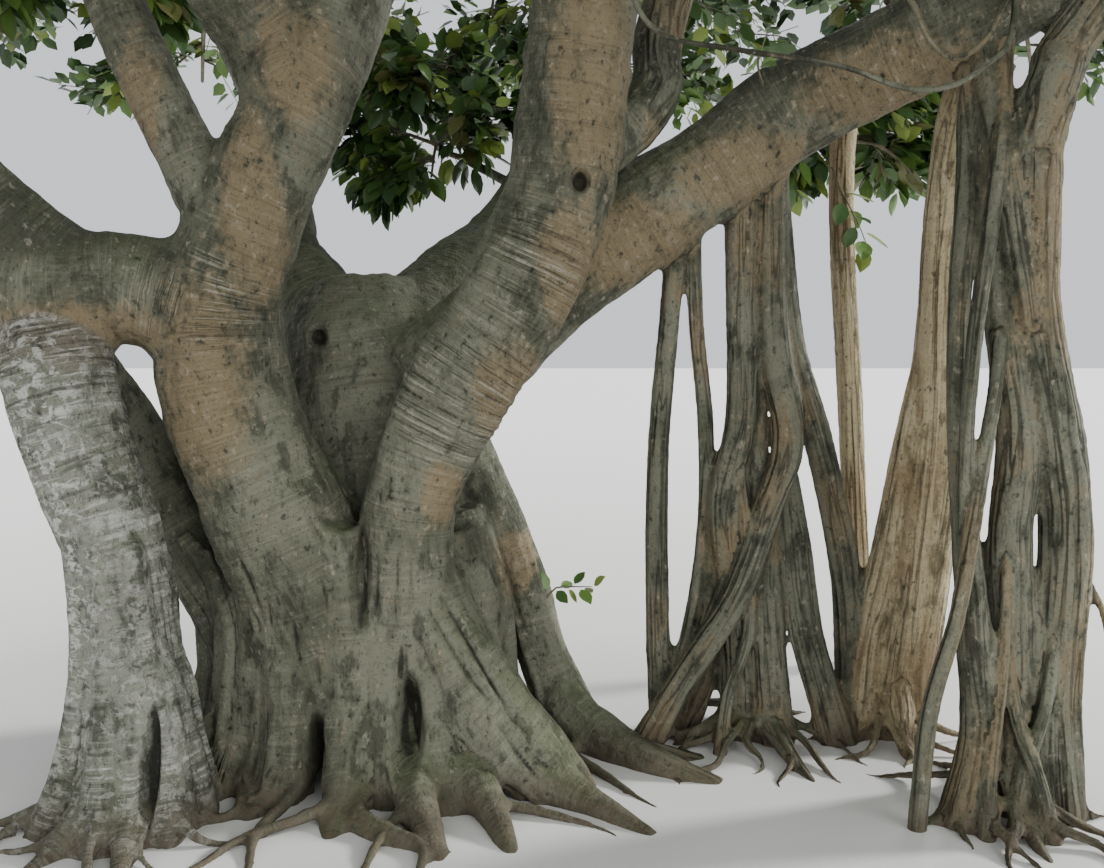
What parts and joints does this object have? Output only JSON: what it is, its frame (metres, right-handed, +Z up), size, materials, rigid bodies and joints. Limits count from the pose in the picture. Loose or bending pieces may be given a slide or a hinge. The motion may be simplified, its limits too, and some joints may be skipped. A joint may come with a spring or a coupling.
{
  "type": "banyan tree",
  "caption": "Rooted banyan tree: fluted trunk with a root flare, heavy limbs forking low, pillar roots that prop them, and a wide crown of separate leaf masses.",
  "frame": {"origin": "on the ground under the middle of the trunk, in the flat cut at ground level", "axes": "+Z up; -Y towards the picture's camera; +X to the right in the picture, towards the pillar roots"},
  "size_m": [11.5524, 11.3608, 8.0401],
  "materials": {
    "bark": "rough grey-green bark with ring folds and brown exposures",
    "pale_bark": "rough bark under pale grey lichen",
    "tan_bark": "smoother warm brown root bark",
    "foliage": "leathery green leaves on thin twigs"
  },
  "bodies": {
    "root": {"trunk": "bark", "left_limb": "bark", "centre_limb": "bark", "right_limb": "bark", "long_left_limb": "bark", "left_fork_limb": "bark", "left_upright": "bark", "front_left_limb": "bark", "back_limb": "bark", "back_left_limb": "bark", "back_right_limb": "bark", "centre_side_limb": "bark", "right_upright": "bark", "front_bough": "bark", "middle_back_bough": "bark", "middle_left_bough": "bark", "middle_right_bough": "bark", "top_bough": "bark", "low_back_bough": "bark", "low_right_bough": "bark", "low_left_bough": "bark", "left_pillar": "pale_bark", "strut_root": "bark", "middle_pillar": "bark", "straight_pillar": "tan_bark", "tan_pillar": "tan_bark", "right_pillar": "bark", "hanging_root": "tan_bark", "outer_mass_1": "foliage", "outer_mass_2": "foliage", "outer_mass_3": "foliage", "outer_mass_4": "foliage", "outer_mass_5": "foliage", "outer_mass_6": "foliage", "outer_mass_7": "foliage", "outer_mass_8": "foliage", "outer_mass_9": "foliage", "middle_mass_1": "foliage", "middle_mass_2": "foliage", "middle_mass_3": "foliage", "middle_mass_4": "foliage", "middle_mass_5": "foliage", "middle_mass_6": "foliage", "top_mass_1": "foliage", "top_mass_2": "foliage", "low_mass_back": "foliage", "low_mass_right": "foliage", "low_mass_left": "foliage"}
  },
  "joints": []
}
